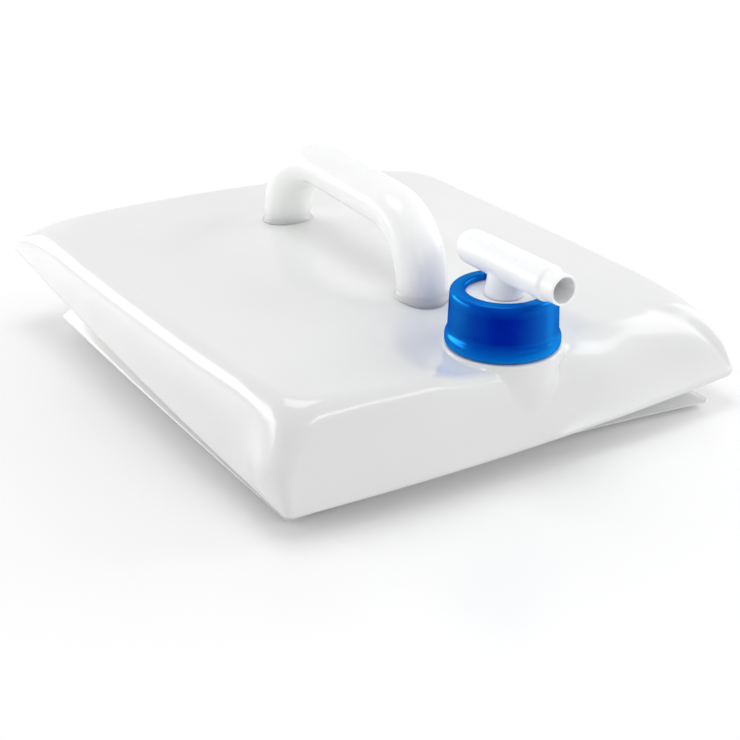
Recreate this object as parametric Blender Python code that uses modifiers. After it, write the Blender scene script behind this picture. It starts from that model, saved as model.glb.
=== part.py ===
# A collapsible water cube, folded flat: a soft square container with a carrying
# handle and a screw cap that holds a turning spout.
# Metres, +Z up. The origin is the middle of the flat underside. The neck is on the
# -Y side and the spout points to -Y. The four corners are called front (-X -Y),
# right (+X -Y), back (+X +Y) and left (-X +Y).

import math

import bmesh
import bpy
import numpy as np
from mathutils import Matrix
from mathutils import Vector

# Clearances
GAP = 0.0003             # between pieces that touch
THREAD_PLAY = 0.0004     # round the screw thread
STEM_PLAY = 0.0003       # round the turning stem

# Container, in plan
SIDE_X = 0.244           # left side to right side, over the rim
SIDE_Y = 0.256           # neck side to far side, over the rim
SHIFT_X = 0.003          # how far the folded top lies off the underside's middle
SHIFT_Y = 0.006
SKIN = 0.0010            # wall of the container
RIM_ROUND = 0.012        # radius of the rounded rim
WALL_SWELL = 0.0015      # how far the side walls swell between rim and fold
PLEAT_DEPTH = 0.024      # how far the folded walls tuck in between the two creases
LIP_SHARE = 0.45         # share of the tuck that the top and the base reach in

# Heights of the folded container at its four corners: front, right, back, left
RIM_HEIGHT = (0.0575, 0.0495, 0.0547, 0.0615)
FOLD_HEIGHT = (0.0100, 0.0160, 0.0290, 0.0445)
CREASE_HEIGHT = (0.0025, 0.0030, 0.0080, 0.0080)

# How far each corner lies from the square's own corner, along X and Y
RIM_OFFSET = ((0.0005, 0.0010), (0.0033, -0.0015), (0.0010, -0.0040), (-0.0020, 0.0070))
FOLD_OFFSET = ((0.0035, 0.0020), (0.0050, -0.0084), (0.0020, 0.0000), (-0.0040, 0.0220))
CREASE_OFFSET = ((0.0091, 0.0115), (-0.0080, -0.0060), (-0.0070, -0.0120), (0.0117, -0.0020))
FOOT_INSET = 0.0180      # from the base's crease to the flat that it stands on

# How far each side swells outwards: neck side, right side, far side, left side
RIM_SWELL = (0.0105, 0.0015, 0.0080, 0.0040)
FOLD_SWELL = (0.0045, 0.0020, 0.0060, 0.0005)
CREASE_SWELL = (0.0010, 0.0020, 0.0020, 0.0010)
RIM_CORNER = (0.0090, 0.0120, 0.0220, 0.0100)
FOLD_CORNER = (0.0040, 0.0060, 0.0100, 0.0050)
CREASE_CORNER = (0.0040, 0.0040, 0.0100, 0.0030)
DOME = 0.0035            # how far the middle of the top bulges
FAR_PUFF = 0.0026        # the top rises towards the far side
NECK_SAG = 0.0030        # and sinks round the neck
NECK_SAG_FLAT = 0.034
NECK_SAG_REACH = 0.052

# Neck and cap, on one vertical axis
NECK_X = 0.0063
NECK_FROM_SIDE = 0.0186  # in from the neck side's rim
NECK_Y = SHIFT_Y - SIDE_Y / 2 + NECK_FROM_SIDE
SEAT_RISE = 0.0022       # the neck's seat above the panel at its middle
SEAT_DEEP = 0.0100
SEAT_PLAY = 0.0005       # from the seat up to the cap
SEAT_FLARE = 0.0022
CAP_HEIGHT = 0.02535
CAP_TOP_RADIUS = 0.0240
CAP_DRAFT = 0.0006
CAP_FLARE = 0.0013
CAP_FLARE_HEIGHT = 0.0060
CAP_HOLE_RADIUS = 0.0172
CAP_LIP = 0.0028
CAP_WALL = 0.0019
THREAD_DEPTH = 0.0011
THREAD_PITCH = 0.0040
THREAD_TURNS = 2.5
THREAD_TOP = 0.0045      # from the neck's mouth down to the thread
THREAD_CREST = 0.0010
THREAD_ROOT = 0.0018
NECK_WALL = 0.0022
NECK_BELOW = 0.0055      # how far the neck reaches down through the panel

# Tap
FLANGE_THICK = 0.0022
GASKET_THICK = 0.0018
GASKET_WIDTH = 0.0046
SLEEVE_BORE = 0.0082
SLEEVE_WALL = 0.0022
SLEEVE_LENGTH = 0.0160
STEM_BORE = 0.0048
STEM_FLOOR = 0.0015
STEM_SNAP = 0.0010
STEM_SNAP_HEIGHT = 0.0020
PORT_WIDTH = 0.0066
PORT_HEIGHT = 0.0060
PORT_ABOVE_END = 0.0035
RING_CORD = 0.0015       # thickness of the O-ring
RING_BELOW_FLANGE = 0.0030
COLUMN_RADIUS = 0.0089
BARREL_ABOVE_CAP = 0.01175
BARREL_RADIUS = 0.0080
BARREL_KNOB = 0.0225     # from the stem's axis to the middle of the round end
BARREL_FRONT = 0.0310    # from the stem's axis to the step
OUTLET_REACH = 0.0390    # from the stem's axis to the mouth
OUTLET_RADIUS = 0.0068
OUTLET_WALL = 0.0010

# Handle, in the plane X = 0
HANDLE_FAR_Y = 0.0724
HANDLE_NEAR_Y = -0.0505
HANDLE_FAR_RISE = 0.0415     # middle of the grip above the panel
HANDLE_NEAR_RISE = 0.0355
HANDLE_FAR_ROUND = 0.0367
HANDLE_NEAR_ROUND = 0.0299
HANDLE_SPLAY = 0.0018
HANDLE_THICK = 0.0200        # in its own plane
HANDLE_WIDE = 0.0250         # across
HANDLE_WALL = 0.0020
HANDLE_COLLAR = 0.0012
HANDLE_COLLAR_HEIGHT = 0.0040

SIDE_STEPS = 10
ARC_STEPS = 4

SIGN = ((-1, -1), (1, -1), (1, 1), (-1, 1))


def ring(offset, height, swell, corner, inset=0.0, lift=(0, 0, 0, 0)):
    """One closed line round the container, with bent sides and round corners."""
    points = []
    for k in range(4):
        x = SHIFT_X + SIGN[k][0] * (SIDE_X / 2 - inset) + offset[k][0]
        y = SHIFT_Y + SIGN[k][1] * (SIDE_Y / 2 - inset) + offset[k][1]
        points.append(Vector((x, y, height[k])))
    middle = (points[0] + points[1] + points[2] + points[3]) / 4

    def side(k, s):
        a = points[k]
        b = points[(k + 1) % 4]
        along = b - a
        out = Vector((along.y, -along.x, 0)).normalized()
        arch = 4 * s * (1 - s)
        return a.lerp(b, s) + out * swell[k] * arch + Vector((0, 0, lift[k] * arch))

    line = []
    for k in range(4):
        length = (points[(k + 1) % 4] - points[k]).length
        start = corner[k] / length
        end = 1 - corner[(k + 1) % 4] / length
        for i in range(SIDE_STEPS):
            line.append(side(k, start + (end - start) * i / SIDE_STEPS))
        after = (points[(k + 2) % 4] - points[(k + 1) % 4]).length
        p = side(k, end)
        q = points[(k + 1) % 4]
        r = side((k + 1) % 4, corner[(k + 1) % 4] / after)
        for i in range(ARC_STEPS):
            t = i / ARC_STEPS
            line.append(p * (1 - t) ** 2 + q * 2 * t * (1 - t) + r * t ** 2)
    return np.array([tuple(v) for v in line]), np.array(tuple(middle))


def panel_height(x, y):
    """Height of the top panel: four corners, domed middle, puffed far side, sunk neck."""
    u = (x - SHIFT_X) / SIDE_X + 0.5
    v = (y - SHIFT_Y) / SIDE_Y + 0.5
    front, right, back, left = RIM_HEIGHT
    level = (front * (1 - u) + right * u) * (1 - v) + (left * (1 - u) + back * u) * v
    puff = min(max((v - 0.70) / 0.30, 0.0), 1.0)
    puff = puff * puff * (3 - 2 * puff) * max(0.0, 1 - ((u - 0.35) / 0.75) ** 2)
    inner = 16 * u * (1 - u) * v * (1 - v) if 0 < u < 1 else 0.0
    dome = min(max((inner - 0.55) / 0.30, 0.0), 1.0)
    dome = dome * dome * (3 - 2 * dome)
    away = math.hypot(x - NECK_X, y - NECK_Y)
    sag = min(max((NECK_SAG_REACH - away) / (NECK_SAG_REACH - NECK_SAG_FLAT), 0.0), 1.0)
    sag = sag * sag * (3 - 2 * sag)
    return level + DOME * dome + FAR_PUFF * puff - NECK_SAG * sag


def loft(rings, name, first=None, last=None):
    """A surface through rings of equal count; either end may close on a point."""
    mesh = bmesh.new()
    rows = []
    for points in rings:
        rows.append([mesh.verts.new(tuple(p)) for p in points])
    for a, b in zip(rows[:-1], rows[1:]):
        n = len(a)
        for i in range(n):
            j = (i + 1) % n
            mesh.faces.new((a[i], a[j], b[j], b[i]))
    if first is not None:
        point = mesh.verts.new(tuple(first))
        for i in range(len(rows[0])):
            mesh.faces.new((rows[0][(i + 1) % len(rows[0])], rows[0][i], point))
    if last is not None:
        point = mesh.verts.new(tuple(last))
        for i in range(len(rows[-1])):
            mesh.faces.new((rows[-1][i], rows[-1][(i + 1) % len(rows[-1])], point))
    bmesh.ops.triangulate(mesh, faces=mesh.faces[:])
    data = bpy.data.meshes.new(name)
    mesh.to_mesh(data)
    mesh.free()
    return bpy.data.objects.new(name, data)


def material(name, colour, roughness, alpha=1.0):
    mat = bpy.data.materials.new(name)
    mat.use_nodes = True
    shader = mat.node_tree.nodes["Principled BSDF"]
    shader.inputs["Base Color"].default_value = (*colour, 1)
    shader.inputs["Roughness"].default_value = roughness
    shader.inputs["Metallic"].default_value = 0.0
    shader.inputs["Alpha"].default_value = alpha
    return mat


def add_part(obj, mat, smooth=35):
    parts.objects.link(obj)
    obj.data.materials.append(mat)
    obj.data.shade_smooth()
    obj.data.set_sharp_from_angle(angle=math.radians(smooth))
    return obj


def add_guide(obj):
    guides.objects.link(obj)
    obj.hide_render = True
    obj.display_type = "WIRE"
    return obj


def cut(obj, tool, operation="DIFFERENCE"):
    change = obj.modifiers.new(operation.lower() + "_" + tool.name, "BOOLEAN")
    change.object = tool
    change.operation = operation
    change.solver = "EXACT"


def turned(name, profile, steps=64):
    """A profile of (radius, height) pairs turned round Z, from the top down outside."""
    data = bpy.data.meshes.new(name)
    verts = [(r, 0, z) for r, z in profile]
    edges = [(i, (i + 1) % len(verts)) for i in range(len(verts))]
    data.from_pydata(verts, edges, [])
    obj = bpy.data.objects.new(name, data)
    spin = obj.modifiers.new("turn", "SCREW")
    spin.axis = "Z"
    spin.steps = steps
    spin.render_steps = steps
    spin.use_merge_vertices = True
    spin.merge_threshold = 0.00001
    return obj


def turned_solid(name, profile, steps=48):
    """The same with the profile open at the axis, for a solid without a bore."""
    data = bpy.data.meshes.new(name)
    verts = [(r, 0, z) for r, z in profile]
    edges = [(i, i + 1) for i in range(len(verts) - 1)]
    data.from_pydata(verts, edges, [])
    obj = bpy.data.objects.new(name, data)
    spin = obj.modifiers.new("turn", "SCREW")
    spin.axis = "Z"
    spin.steps = steps
    spin.render_steps = steps
    spin.use_merge_vertices = True
    spin.merge_threshold = 0.00001
    return obj


def helix(name, root, crest, top, steps=24):
    """A right-hand thread rib that fades in and out over a third of a turn."""
    count = int(round(THREAD_TURNS * steps))
    mesh = bmesh.new()
    rows = []
    for i in range(count + 1):
        angle = 2 * math.pi * i / steps
        z = top - THREAD_TURNS * THREAD_PITCH + THREAD_PITCH * i / steps
        fade = min(1.0, 3.0 * min(i, count - i) / steps + 0.12)
        tip = root + (crest - root) * fade
        bed = root - (crest - root) * 0.35
        half_tip = THREAD_CREST / 2
        half_bed = THREAD_ROOT / 2 * 1.15
        row = []
        for r, dz in ((bed, -half_bed), (tip, -half_tip), (tip, half_tip), (bed, half_bed)):
            row.append(mesh.verts.new((r * math.cos(angle), r * math.sin(angle), z + dz)))
        rows.append(row)
    for a, b in zip(rows[:-1], rows[1:]):
        for i in range(4):
            j = (i + 1) % 4
            mesh.faces.new((a[i], b[i], b[j], a[j]))
    mesh.faces.new(rows[0])
    mesh.faces.new(rows[-1][::-1])
    bmesh.ops.recalc_face_normals(mesh, faces=mesh.faces[:])
    bmesh.ops.triangulate(mesh, faces=mesh.faces[:])
    data = bpy.data.meshes.new(name)
    mesh.to_mesh(data)
    mesh.free()
    return bpy.data.objects.new(name, data)


def cylinder(name, radius, depth, centre, axis="Z", sides=40):
    mesh = bmesh.new()
    bmesh.ops.create_cone(mesh, cap_ends=True, segments=sides, radius1=radius, radius2=radius, depth=depth)
    if axis == "Y":
        bmesh.ops.rotate(mesh, verts=mesh.verts[:], matrix=Matrix.Rotation(math.pi / 2, 3, "X"))
    if axis == "X":
        bmesh.ops.rotate(mesh, verts=mesh.verts[:], matrix=Matrix.Rotation(math.pi / 2, 3, "Y"))
    bmesh.ops.translate(mesh, verts=mesh.verts[:], vec=Vector(centre))
    data = bpy.data.meshes.new(name)
    mesh.to_mesh(data)
    mesh.free()
    return bpy.data.objects.new(name, data)


def box(name, size, centre):
    mesh = bmesh.new()
    bmesh.ops.create_cube(mesh, size=1.0)
    bmesh.ops.scale(mesh, verts=mesh.verts[:], vec=Vector(size))
    bmesh.ops.translate(mesh, verts=mesh.verts[:], vec=Vector(centre))
    data = bpy.data.meshes.new(name)
    mesh.to_mesh(data)
    mesh.free()
    return bpy.data.objects.new(name, data)


for old in list(bpy.data.objects):
    bpy.data.objects.remove(old, do_unlink=True)

parts = bpy.data.collections.new("water_cube")
guides = bpy.data.collections.new("cutters")
bpy.context.scene.collection.children.link(parts)
bpy.context.scene.collection.children.link(guides)

milky = material("milky_film", (0.86, 0.87, 0.87), 0.28, 0.75)
blue = material("blue_cap", (0.0, 0.12, 0.62), 0.25, 0.9)
white = material("white_tap", (0.90, 0.91, 0.92), 0.35)
rubber = material("pale_rubber", (0.55, 0.56, 0.57), 0.6)

# The container's lines, from the fold up to the rim
fold, _ = ring(FOLD_OFFSET, FOLD_HEIGHT, FOLD_SWELL, FOLD_CORNER, lift=(-0.0010, 0, 0, -0.0025))
rim_side = [h - RIM_ROUND for h in RIM_HEIGHT]
rim, centre = ring(RIM_OFFSET, rim_side, RIM_SWELL, RIM_CORNER)
panel_edge, _ = ring(RIM_OFFSET, RIM_HEIGHT, RIM_SWELL, RIM_CORNER, inset=RIM_ROUND)
crease, _ = ring(CREASE_OFFSET, CREASE_HEIGHT, CREASE_SWELL, CREASE_CORNER)
for row in range(len(panel_edge)):
    panel_edge[row][2] = panel_height(panel_edge[row][0], panel_edge[row][1])
    rim[row][2] = panel_height(rim[row][0], rim[row][1]) - RIM_ROUND


def outward(line):
    """Unit vectors that point out of a ring, in plan."""
    along = np.roll(line, -1, axis=0) - np.roll(line, 1, axis=0)
    out = np.stack([along[:, 1], -along[:, 0], np.zeros(len(line))], axis=1)
    return out / np.linalg.norm(out, axis=1)[:, None]


def halfway(a, b):
    """The mean of two lists of sizes, corner by corner."""
    return [tuple((np.array(p) + np.array(q)) / 2) if isinstance(p, tuple) else (p + q) / 2 for p, q in zip(a, b)]


def part_way(line, share, extra):
    """A line that lies a share of the way from a crease in to the tuck, and a bit more."""
    q = share + extra / np.linalg.norm(tuck - line, axis=1)[:, None]
    return line * (1 - q) + tuck * q


# The tuck between the two creases: an inner crease halfway up
tuck, _ = ring(halfway(FOLD_OFFSET, CREASE_OFFSET), halfway(FOLD_HEIGHT, CREASE_HEIGHT),
               halfway(FOLD_SWELL, CREASE_SWELL), halfway(FOLD_CORNER, CREASE_CORNER), inset=PLEAT_DEPTH)
lip_top = part_way(fold, LIP_SHARE, 0)
lip_base = part_way(crease, LIP_SHARE, 0)

# Top half: lip, fold, side wall, rounded rim and panel
rows = [lip_top, fold]
for w in (0.25, 0.5, 0.75):
    rows.append(fold * (1 - w) + rim * w + outward(rim) * WALL_SWELL * 4 * w * (1 - w))
rows.append(rim)
for degrees in (60, 30):
    a = math.radians(degrees)
    row = panel_edge + (rim - panel_edge) * math.sin(a)
    row[:, 2] = panel_edge[:, 2] - (panel_edge[:, 2] - rim[:, 2]) * (1 - math.cos(a))
    rows.append(row)
rows.append(panel_edge)
panel_rows = [panel_edge]
for k in (0.86, 0.70, 0.52, 0.34, 0.16):
    row = centre + (panel_edge - centre) * k
    row[:, 2] = [panel_height(p[0], p[1]) for p in row]
    rows.append(row)
    panel_rows.append(row)
tip = np.array((centre[0], centre[1], panel_height(centre[0], centre[1])))
container_top = add_part(loft(rows, "container_top", last=tip), milky, 50)
shell = container_top.modifiers.new("wall", "SOLIDIFY")
shell.thickness = SKIN
shell.offset = -1

# Neck: a tube through the panel, with a thread outside
panel_at_neck = panel_height(NECK_X, NECK_Y)
seat_top = panel_at_neck + SEAT_RISE
cap_base = seat_top + SEAT_PLAY
cap_top = cap_base + CAP_HEIGHT
flange_top = cap_top - CAP_LIP - GAP
flange_under = flange_top - FLANGE_THICK
gasket_top = flange_under - GAP
gasket_under = gasket_top - GASKET_THICK
neck_top = gasket_under - GAP
neck_foot = panel_at_neck - NECK_BELOW
cap_bore = CAP_TOP_RADIUS - CAP_WALL
neck_crest = cap_bore - THREAD_PLAY
neck_radius = neck_crest - THREAD_DEPTH
cap_crest = neck_radius + THREAD_PLAY
neck_bore = neck_radius - NECK_WALL
neck = turned("neck", [
    (neck_radius - 0.0005, neck_top), (neck_radius, neck_top - 0.0005),
    (neck_radius, neck_foot), (neck_bore, neck_foot), (neck_bore, neck_top)], 56)
neck.location = (NECK_X, NECK_Y, 0)
add_part(neck, milky)
thread_top = neck_top - THREAD_TOP
neck_thread = add_guide(helix("neck_thread", neck_radius, neck_crest, thread_top))
neck_thread.location = neck.location
cut(neck, neck_thread, "UNION")

flare_radius = CAP_TOP_RADIUS + CAP_DRAFT + CAP_FLARE
seat = add_guide(turned_solid("neck_seat", [
    (0, seat_top), (flare_radius - 0.0006, seat_top), (flare_radius, seat_top - 0.0006),
    (flare_radius + SEAT_FLARE, seat_top - 0.0045),
    (flare_radius + SEAT_FLARE, seat_top - SEAT_DEEP), (0, seat_top - SEAT_DEEP)], 56))
seat.location = (NECK_X, NECK_Y, 0)
cut(container_top, seat, "UNION")
hole = add_guide(cylinder("neck_hole", neck_radius + GAP, 0.060, (NECK_X, NECK_Y, panel_at_neck), sides=56))
cut(container_top, hole)

# Cap: a threaded ring that leaves the tap's flange in view
cap_radius = CAP_TOP_RADIUS + CAP_DRAFT
cap_ring = turned("cap_ring", [
    (CAP_HOLE_RADIUS + 0.0006, cap_top), (CAP_TOP_RADIUS - 0.0018, cap_top),
    (CAP_TOP_RADIUS - 0.0005, cap_top - 0.0005), (CAP_TOP_RADIUS, cap_top - 0.0018),
    (cap_radius, cap_base + CAP_FLARE_HEIGHT + 0.0012),
    (cap_radius + CAP_FLARE * 0.5, cap_base + CAP_FLARE_HEIGHT),
    (flare_radius, cap_base + CAP_FLARE_HEIGHT - 0.0016),
    (flare_radius, cap_base + 0.0012), (flare_radius - 0.0012, cap_base),
    (cap_bore, cap_base), (cap_bore, cap_top - CAP_LIP),
    (CAP_HOLE_RADIUS, cap_top - CAP_LIP), (CAP_HOLE_RADIUS, cap_top - 0.0006)], 56)
cap_ring.location = (NECK_X, NECK_Y, 0)
add_part(cap_ring, blue)
cap_thread = add_guide(helix("cap_thread", cap_bore, cap_crest, thread_top - THREAD_PITCH / 2))
cap_thread.location = cap_ring.location
cut(cap_ring, cap_thread, "UNION")

# Gasket between the flange and the neck's mouth
gasket_inner = neck_radius - GASKET_WIDTH
gasket = turned("gasket", [
    (neck_radius, gasket_top), (neck_radius, gasket_under),
    (gasket_inner, gasket_under), (gasket_inner, gasket_top)], 48)
gasket.location = (NECK_X, NECK_Y, 0)
add_part(gasket, rubber)

# Tap flange: a disc with a sleeve below it and two ports in the sleeve
sleeve_radius = SLEEVE_BORE + SLEEVE_WALL
sleeve_end = flange_under - SLEEVE_LENGTH
port_middle = sleeve_end + PORT_ABOVE_END + PORT_HEIGHT / 2
tap_flange = turned("tap_flange", [
    (neck_radius, flange_top), (neck_radius, flange_under),
    (sleeve_radius, flange_under), (sleeve_radius, sleeve_end),
    (SLEEVE_BORE, sleeve_end), (SLEEVE_BORE, flange_top)], 56)
tap_flange.location = (NECK_X, NECK_Y, 0)
add_part(tap_flange, white)
ports = add_guide(box("sleeve_ports", (0.040, PORT_WIDTH, PORT_HEIGHT), (NECK_X, NECK_Y, port_middle)))
cut(tap_flange, ports)

# Spout: stem, column, round-ended barrel and outlet in one moulding
stem_radius = SLEEVE_BORE - STEM_PLAY
snap_top = sleeve_end - GAP
stem_end = snap_top - STEM_SNAP_HEIGHT
ring_middle = flange_under - RING_BELOW_FLANGE
ring_space = SLEEVE_BORE - (RING_CORD + 2 * GAP)
groove_half = RING_CORD / 2 + GAP
column_foot = flange_top + GAP
barrel_axis = cap_top + BARREL_ABOVE_CAP
spout = turned_solid("spout", [
    (0, barrel_axis), (COLUMN_RADIUS - 0.0022, barrel_axis),
    (COLUMN_RADIUS - 0.0008, barrel_axis - BARREL_RADIUS),
    (COLUMN_RADIUS, column_foot + 0.0008),
    (COLUMN_RADIUS, column_foot), (stem_radius, column_foot),
    (stem_radius, ring_middle + groove_half), (ring_space, ring_middle + groove_half),
    (ring_space, ring_middle - groove_half), (stem_radius, ring_middle - groove_half),
    (stem_radius, snap_top), (stem_radius + STEM_SNAP, snap_top),
    (stem_radius + STEM_SNAP, snap_top - STEM_SNAP_HEIGHT / 2),
    (stem_radius, stem_end), (0, stem_end)], 48)
spout.location = (NECK_X, NECK_Y, 0)
add_part(spout, white)
outlet_middle = (BARREL_FRONT + OUTLET_REACH) / 2
barrel = add_guide(turned_solid("barrel", [
    (0, OUTLET_REACH), (OUTLET_RADIUS - 0.0003, OUTLET_REACH),
    (OUTLET_RADIUS, OUTLET_REACH - 0.0003), (OUTLET_RADIUS, BARREL_FRONT),
    (BARREL_RADIUS - 0.0002, BARREL_FRONT - 0.0012), (BARREL_RADIUS, BARREL_FRONT - 0.0022)]
    + [(BARREL_RADIUS * math.cos(math.radians(a)), -BARREL_KNOB - BARREL_RADIUS * math.sin(math.radians(a)))
       for a in range(0, 90, 15)] + [(0, -BARREL_KNOB - BARREL_RADIUS)], 40))
barrel.location = (NECK_X, NECK_Y, barrel_axis)
barrel.rotation_euler = (math.pi / 2, 0, 0)
cut(spout, barrel, "UNION")
bore_length = OUTLET_REACH + 0.0050
outlet_bore = add_guide(cylinder("outlet_bore", OUTLET_RADIUS - OUTLET_WALL, bore_length + 0.010,
                                 (NECK_X, NECK_Y + 0.0050 - (bore_length + 0.010) / 2, barrel_axis), "Y", 32))
cut(spout, outlet_bore)
stem_floor = stem_end + STEM_FLOOR
stem_bore = add_guide(cylinder("stem_bore", STEM_BORE, barrel_axis - stem_floor,
                               (NECK_X, NECK_Y, (barrel_axis + stem_floor) / 2), "Z", 32))
cut(spout, stem_bore)
stem_ports = add_guide(box("stem_ports", (0.040, PORT_WIDTH, PORT_HEIGHT), (NECK_X, NECK_Y, port_middle)))
cut(spout, stem_ports)

# O-ring in the stem's groove
bpy.ops.mesh.primitive_torus_add(major_segments=32, minor_segments=8, minor_radius=RING_CORD / 2,
                                 major_radius=SLEEVE_BORE - GAP - RING_CORD / 2,
                                 location=(NECK_X, NECK_Y, ring_middle))
stem_o_ring = bpy.context.object
stem_o_ring.name = "stem_o_ring"
for holder in list(stem_o_ring.users_collection):
    holder.objects.unlink(stem_o_ring)
add_part(stem_o_ring, rubber)

# Handle: an oval tube bent into an arch, hollow and open at its feet
def handle_line():
    """The arch's middle line, from the far foot to the near foot."""
    far_top = panel_height(0, HANDLE_FAR_Y) + HANDLE_FAR_RISE
    near_top = panel_height(0, HANDLE_NEAR_Y) + HANDLE_NEAR_RISE
    below = 0.006
    corners = [
        Vector((HANDLE_FAR_Y, panel_height(0, HANDLE_FAR_Y) - below)),
        Vector((HANDLE_FAR_Y - HANDLE_SPLAY, far_top)),
        Vector((HANDLE_NEAR_Y + HANDLE_SPLAY, near_top)),
        Vector((HANDLE_NEAR_Y, panel_height(0, HANDLE_NEAR_Y) - below))]
    rounds = (HANDLE_FAR_ROUND, HANDLE_NEAR_ROUND)
    line = [corners[0]]
    for k in (1, 2):
        back = (corners[k - 1] - corners[k]).normalized()
        ahead = (corners[k + 1] - corners[k]).normalized()
        half = math.acos(back.dot(ahead)) / 2
        reach = rounds[k - 1] / math.tan(half)
        hub = corners[k] + (back + ahead).normalized() * rounds[k - 1] / math.sin(half)
        p = corners[k] + back * reach
        q = corners[k] + ahead * reach
        line.append((line[-1] + p) / 2)
        for i in range(9):
            ray = (p - hub) * (1 - i / 8) + (q - hub) * (i / 8)
            line.append(hub + ray.normalized() * rounds[k - 1])
    line.append((line[-1] + corners[3]) / 2)
    line.append(corners[3])
    return line


def handle_tube(name, radius, beyond):
    path = bpy.data.curves.new(name, "CURVE")
    path.dimensions = "3D"
    path.bevel_depth = radius
    path.bevel_resolution = 4
    path.use_fill_caps = True
    path.twist_mode = "MINIMUM"
    points = handle_line()
    points[0] = points[0] + (points[0] - points[1]).normalized() * beyond
    points[-1] = points[-1] + (points[-1] - points[-2]).normalized() * beyond
    line = path.splines.new("POLY")
    line.points.add(len(points) - 1)
    for point, at in zip(line.points, points):
        point.co = (0, at.x, at.y, 1)
    curve = bpy.data.objects.new(name + "_curve", path)
    guides.objects.link(curve)
    bpy.context.view_layer.update()
    data = bpy.data.meshes.new_from_object(curve.evaluated_get(bpy.context.evaluated_depsgraph_get()))
    data.name = name
    mesh = bmesh.new()
    mesh.from_mesh(data)
    bmesh.ops.remove_doubles(mesh, verts=mesh.verts[:], dist=0.00001)
    for v in mesh.verts:
        v.co.x = v.co.x * (HANDLE_WIDE / 2 - HANDLE_THICK / 2 + radius) / radius
    bmesh.ops.recalc_face_normals(mesh, faces=mesh.faces[:])
    mesh.to_mesh(data)
    mesh.free()
    bpy.data.objects.remove(curve, do_unlink=True)
    return bpy.data.objects.new(name, data)


handle = add_part(handle_tube("handle", HANDLE_THICK / 2, 0.0), milky)
for label, foot_y in (("far", HANDLE_FAR_Y), ("near", HANDLE_NEAR_Y)):
    foot_z = panel_height(0, foot_y)
    collar = turned_solid("collar_" + label, [
        (0, HANDLE_COLLAR_HEIGHT), (HANDLE_THICK / 2 - 0.0015, HANDLE_COLLAR_HEIGHT),
        (HANDLE_THICK / 2 + HANDLE_COLLAR, HANDLE_COLLAR_HEIGHT / 2),
        (HANDLE_THICK / 2 + HANDLE_COLLAR, -0.004), (0, -0.004)], 32)
    add_guide(collar)
    collar.location = (0, foot_y, foot_z)
    collar.scale = ((HANDLE_WIDE / 2 + HANDLE_COLLAR) / (HANDLE_THICK / 2 + HANDLE_COLLAR), 1, 1)
    cut(handle, collar, "UNION")
handle_bore = add_guide(handle_tube("handle_bore", HANDLE_THICK / 2 - HANDLE_WALL, 0.010))
cut(handle, handle_bore)
lifted = [row + np.array((0, 0, GAP)) for row in panel_rows]
footing = add_guide(loft(lifted, "handle_footing", last=tip + np.array((0, 0, GAP))))
block = footing.modifiers.new("depth", "SOLIDIFY")
block.thickness = 0.025
block.offset = -1
cut(handle, footing)

# Folded walls: the tuck between the two lips
walls_rows = [part_way(crease, LIP_SHARE, 2 * GAP), tuck, part_way(fold, LIP_SHARE, 2 * GAP)]
container_walls = add_part(loft(walls_rows, "container_walls"), milky, 50)
film = container_walls.modifiers.new("wall", "SOLIDIFY")
film.thickness = SKIN
film.offset = -1

# Base: the flat that it stands on, turned up to its own crease, and its lip
foot_corner = [c + 0.010 for c in CREASE_CORNER]
foot_line, foot_middle = ring(CREASE_OFFSET, (0, 0, 0, 0), CREASE_SWELL, foot_corner, inset=FOOT_INSET)
rise = crease * 0.5 + foot_line * 0.5
rise[:, 2] = crease[:, 2] * 0.22
base_rows = [foot_line * 0.5 + foot_middle * 0.5, foot_line, rise, crease, lip_base]
container_base = loft(base_rows, "container_base", first=(foot_middle[0], foot_middle[1], 0))
add_part(container_base, milky, 50)
skin = container_base.modifiers.new("wall", "SOLIDIFY")
skin.thickness = SKIN
skin.offset = -1
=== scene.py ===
# A collapsible water cube, folded flat: a soft milky container with a carrying handle, and a
# blue screw cap that holds a turning white spout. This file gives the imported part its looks.
# Metres, +Z up, as in the part: the neck is on the -Y side and the spout points to -Y.
# The container's corners run front (-X -Y), right (+X -Y), back (+X +Y), left (-X +Y).

import math

import bpy
import numpy as np
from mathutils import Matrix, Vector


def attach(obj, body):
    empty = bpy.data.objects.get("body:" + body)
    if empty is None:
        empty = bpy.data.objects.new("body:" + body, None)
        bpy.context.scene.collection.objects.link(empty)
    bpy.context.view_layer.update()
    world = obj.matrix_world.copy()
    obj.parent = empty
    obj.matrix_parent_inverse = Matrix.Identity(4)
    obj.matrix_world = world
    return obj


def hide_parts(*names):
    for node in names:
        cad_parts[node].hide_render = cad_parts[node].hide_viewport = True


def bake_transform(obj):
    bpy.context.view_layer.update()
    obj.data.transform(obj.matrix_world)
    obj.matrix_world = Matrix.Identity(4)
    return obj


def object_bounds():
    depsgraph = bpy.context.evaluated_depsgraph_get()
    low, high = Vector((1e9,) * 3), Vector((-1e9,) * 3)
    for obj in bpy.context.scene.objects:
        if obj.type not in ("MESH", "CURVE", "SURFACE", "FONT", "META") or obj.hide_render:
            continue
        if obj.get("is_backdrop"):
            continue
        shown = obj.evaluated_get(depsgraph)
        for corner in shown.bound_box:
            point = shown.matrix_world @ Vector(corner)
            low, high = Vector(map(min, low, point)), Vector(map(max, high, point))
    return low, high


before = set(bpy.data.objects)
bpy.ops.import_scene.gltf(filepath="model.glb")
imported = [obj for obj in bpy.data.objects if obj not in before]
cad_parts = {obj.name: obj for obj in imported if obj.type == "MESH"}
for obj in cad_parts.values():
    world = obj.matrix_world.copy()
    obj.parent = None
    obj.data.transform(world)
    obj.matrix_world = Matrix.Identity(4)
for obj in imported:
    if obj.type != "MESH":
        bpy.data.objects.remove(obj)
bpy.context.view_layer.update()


# Camera: level, from the front corner and above, at the photograph's angle.

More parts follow.
